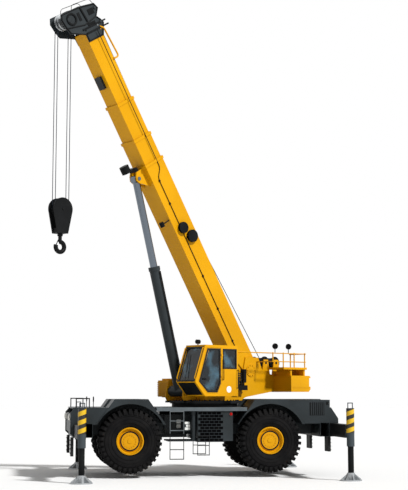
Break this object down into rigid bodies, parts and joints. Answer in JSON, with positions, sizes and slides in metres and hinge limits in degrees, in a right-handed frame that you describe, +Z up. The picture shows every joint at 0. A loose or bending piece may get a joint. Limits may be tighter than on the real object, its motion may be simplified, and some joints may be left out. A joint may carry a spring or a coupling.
{
  "type": "rough-terrain mobile crane",
  "caption": "Rough-terrain mobile crane: wheeled carrier on outriggers, slewing cab and telescopic boom with a lift cylinder and hanging hook block.",
  "frame": {"origin": "on the ground under the slewing axis", "axes": "+X to the front of the carrier, +Y to its left, +Z up"},
  "size_m": [9.329, 7.6, 14.3641],
  "materials": {
    "black_paint": "satin",
    "chrome": "polished",
    "deck_metal": "satin",
    "glass": "clear",
    "grey_paint": "satin",
    "lamp_lens": "clear",
    "rubber": "matte",
    "seat_fabric": "woven",
    "steel": "satin",
    "tyre_rubber": "matte",
    "wire_rope": "satin",
    "yellow_paint": "gloss"
  },
  "bodies": {
    "carrier": {"carrier_frame": "grey_paint", "outrigger_boxes": "grey_paint", "deck": "deck_metal", "fenders": "grey_paint", "engine_hood": "grey_paint", "engine_block": "black_paint", "side_boxes": "grey_paint", "ladders": "steel", "axles": "black_paint", "slew_ring": "black_paint", "carrier_lamps": "lamp_lens", "carrier_rails": "black_paint", "mud_flaps": "rubber"},
    "knuckle_front_left": {"knuckle_front_left": "black_paint"},
    "wheel_front_left": {"tyre_front_left": "tyre_rubber", "rim_front_left": "yellow_paint"},
    "knuckle_front_right": {"knuckle_front_right": "black_paint"},
    "wheel_front_right": {"tyre_front_right": "tyre_rubber", "rim_front_right": "yellow_paint"},
    "knuckle_rear_left": {"knuckle_rear_left": "black_paint"},
    "wheel_rear_left": {"tyre_rear_left": "tyre_rubber", "rim_rear_left": "yellow_paint"},
    "knuckle_rear_right": {"knuckle_rear_right": "black_paint"},
    "wheel_rear_right": {"tyre_rear_right": "tyre_rubber", "rim_rear_right": "yellow_paint"},
    "outrigger_front_left": {"beam_front_left": "black_paint"},
    "jack_front_left": {"jack_front_left": "black_paint"},
    "outrigger_front_right": {"beam_front_right": "black_paint"},
    "jack_front_right": {"jack_front_right": "black_paint"},
    "outrigger_rear_left": {"beam_rear_left": "black_paint"},
    "jack_rear_left": {"jack_rear_left": "black_paint"},
    "outrigger_rear_right": {"beam_rear_right": "black_paint"},
    "jack_rear_right": {"jack_rear_right": "black_paint"},
    "superstructure": {"turntable": "yellow_paint", "counterweight": "yellow_paint", "cab_shell": "yellow_paint", "cab_glass": "glass", "cab_seat": "seat_fabric", "valve_bank": "black_paint", "rear_platform": "yellow_paint", "mirrors": "black_paint", "cab_fittings": "black_paint"},
    "door": {"cab_door": "yellow_paint", "door_glass": "glass"},
    "main_winch": {"main_winch": "black_paint"},
    "aux_winch": {"aux_winch": "black_paint"},
    "boom_base": {"boom_base": "yellow_paint", "boom_fittings": "black_paint", "cable_reels": "black_paint"},
    "boom_mid_outer": {"boom_mid_outer": "yellow_paint"},
    "boom_mid_inner": {"boom_mid_inner": "yellow_paint"},
    "boom_tip": {"boom_tip": "yellow_paint", "boom_head": "grey_paint", "head_sheaves": "steel"},
    "lift_rod": {"lift_rod": "chrome"},
    "lift_barrel": {"lift_barrel": "grey_paint"},
    "hoist_falls": {"hoist_falls": "wire_rope"},
    "hook_block": {"hook_block": "black_paint"},
    "hook": {"hook": "black_paint"}
  },
  "joints": [
    {"name": "steer_front_left", "type": "hinge", "parent": "carrier", "child": "knuckle_front_left", "pos_m": [2.54, 1.05, 1.115], "axis": [0, 0, 1], "range_deg": [-26, 26]},
    {"name": "roll_front_left", "type": "hinge", "parent": "knuckle_front_left", "child": "wheel_front_left", "pos_m": [2.54, 1.295, 1.115], "axis": [0, 1, 0], "continuous": true},
    {"name": "steer_front_right", "type": "hinge", "parent": "carrier", "child": "knuckle_front_right", "pos_m": [2.54, -1.05, 1.115], "axis": [0, 0, 1], "range_deg": [-26, 26]},
    {"name": "roll_front_right", "type": "hinge", "parent": "knuckle_front_right", "child": "wheel_front_right", "pos_m": [2.54, -1.295, 1.115], "axis": [0, 1, 0], "continuous": true},
    {"name": "steer_rear_left", "type": "hinge", "parent": "carrier", "child": "knuckle_rear_left", "pos_m": [-1.8, 1.05, 1.115], "axis": [0, 0, 1], "range_deg": [-26, 26]},
    {"name": "roll_rear_left", "type": "hinge", "parent": "knuckle_rear_left", "child": "wheel_rear_left", "pos_m": [-1.8, 1.295, 1.115], "axis": [0, 1, 0], "continuous": true},
    {"name": "steer_rear_right", "type": "hinge", "parent": "carrier", "child": "knuckle_rear_right", "pos_m": [-1.8, -1.05, 1.115], "axis": [0, 0, 1], "range_deg": [-26, 26]},
    {"name": "roll_rear_right", "type": "hinge", "parent": "knuckle_rear_right", "child": "wheel_rear_right", "pos_m": [-1.8, -1.295, 1.115], "axis": [0, 1, 0], "continuous": true},
    {"name": "extend_front_left", "type": "slide", "parent": "carrier", "child": "outrigger_front_left", "axis": [0, 1, 0], "range_m": [-1.7, 0]},
    {"name": "jack_down_front_left", "type": "slide", "parent": "outrigger_front_left", "child": "jack_front_left", "axis": [0, 0, -1], "range_m": [-0.62, 0.12]},
    {"name": "extend_front_right", "type": "slide", "parent": "carrier", "child": "outrigger_front_right", "axis": [0, -1, 0], "range_m": [-1.7, 0]},
    {"name": "jack_down_front_right", "type": "slide", "parent": "outrigger_front_right", "child": "jack_front_right", "axis": [0, 0, -1], "range_m": [-0.62, 0.12]},
    {"name": "extend_rear_left", "type": "slide", "parent": "carrier", "child": "outrigger_rear_left", "axis": [0, 1, 0], "range_m": [-1.7, 0]},
    {"name": "jack_down_rear_left", "type": "slide", "parent": "outrigger_rear_left", "child": "jack_rear_left", "axis": [0, 0, -1], "range_m": [-0.62, 0.12]},
    {"name": "extend_rear_right", "type": "slide", "parent": "carrier", "child": "outrigger_rear_right", "axis": [0, -1, 0], "range_m": [-1.7, 0]},
    {"name": "jack_down_rear_right", "type": "slide", "parent": "outrigger_rear_right", "child": "jack_rear_right", "axis": [0, 0, -1], "range_m": [-0.62, 0.12]},
    {"name": "slewing", "type": "hinge", "parent": "carrier", "child": "superstructure", "pos_m": [0, 0, 2.24], "axis": [0, 0, 1], "continuous": true},
    {"name": "door_swing", "type": "hinge", "parent": "superstructure", "child": "door", "pos_m": [-0.29281, 1.50188, 3.17], "axis": [0, 0, 1], "range_deg": [0, 95]},
    {"name": "main_winch_turn", "type": "hinge", "parent": "superstructure", "child": "main_winch", "pos_m": [-2.06631, -1.31638, 3.57], "axis": [-0.5373, 0.8434, 0], "continuous": true},
    {"name": "aux_winch_turn", "type": "hinge", "parent": "superstructure", "child": "aux_winch", "pos_m": [-2.47114, -1.57429, 3.57], "axis": [-0.5373, 0.8434, 0], "continuous": true},
    {"name": "boom_luff", "type": "hinge", "parent": "superstructure", "child": "boom_base", "pos_m": [-1.3916, -0.88654, 3.31], "axis": [0.5373, -0.8434, 0], "range_deg": [-57.7, 18.3]},
    {"name": "telescope_mid_outer", "type": "slide", "parent": "boom_base", "child": "boom_mid_outer", "axis": [0.4507, 0.2871, 0.8453], "range_m": [-0.5, 6.2]},
    {"name": "telescope_mid_inner", "type": "slide", "parent": "boom_mid_outer", "child": "boom_mid_inner", "axis": [0.4507, 0.2871, 0.8453], "range_m": [-0.5, 6.2]},
    {"name": "telescope_tip", "type": "slide", "parent": "boom_mid_inner", "child": "boom_tip", "axis": [0.4507, 0.2871, 0.8453], "range_m": [-0.5, 6.2]},
    {"name": "lift_rod_swing", "type": "hinge", "parent": "boom_base", "child": "lift_rod", "pos_m": [2.42172, 1.54281, 9.17088], "axis": [0.5373, -0.8434, 0], "range_deg": [-18, 6]},
    {"name": "lift_stroke", "type": "slide", "parent": "lift_rod", "child": "lift_barrel", "axis": [-0.2262, -0.1441, -0.9633], "range_m": [-2.3, 0.7]},
    {"name": "falls_swing", "type": "hinge", "parent": "boom_tip", "child": "hoist_falls", "pos_m": [4.79674, 3.05586, 13.62541], "axis": [0.5373, -0.8434, 0], "range_deg": [-18.3, 57.7]},
    {"name": "hoist", "type": "slide", "parent": "hoist_falls", "child": "hook_block", "axis": [0, 0, -1], "range_m": [-4.5, 6], "deforming": ["hoist_falls"]},
    {"name": "hook_turn", "type": "hinge", "parent": "hook_block", "child": "hook", "pos_m": [4.79674, 3.05586, 7.12541], "axis": [0, 0, 1], "continuous": true}
  ],
  "couplings": [
    {"joint": "steer_front_right", "follows": "steer_front_left", "ratio": 1},
    {"joint": "steer_rear_right", "follows": "steer_rear_left", "ratio": 1},
    {"joint": "telescope_mid_inner", "follows": "telescope_mid_outer", "ratio": 1},
    {"joint": "telescope_tip", "follows": "telescope_mid_outer", "ratio": 1},
    {"joint": "lift_rod_swing", "follows": "boom_luff", "ratio": 0.285},
    {"joint": "lift_stroke", "follows": "boom_luff", "m_per_rad": 2.1},
    {"joint": "falls_swing", "follows": "boom_luff", "ratio": -1}
  ]
}
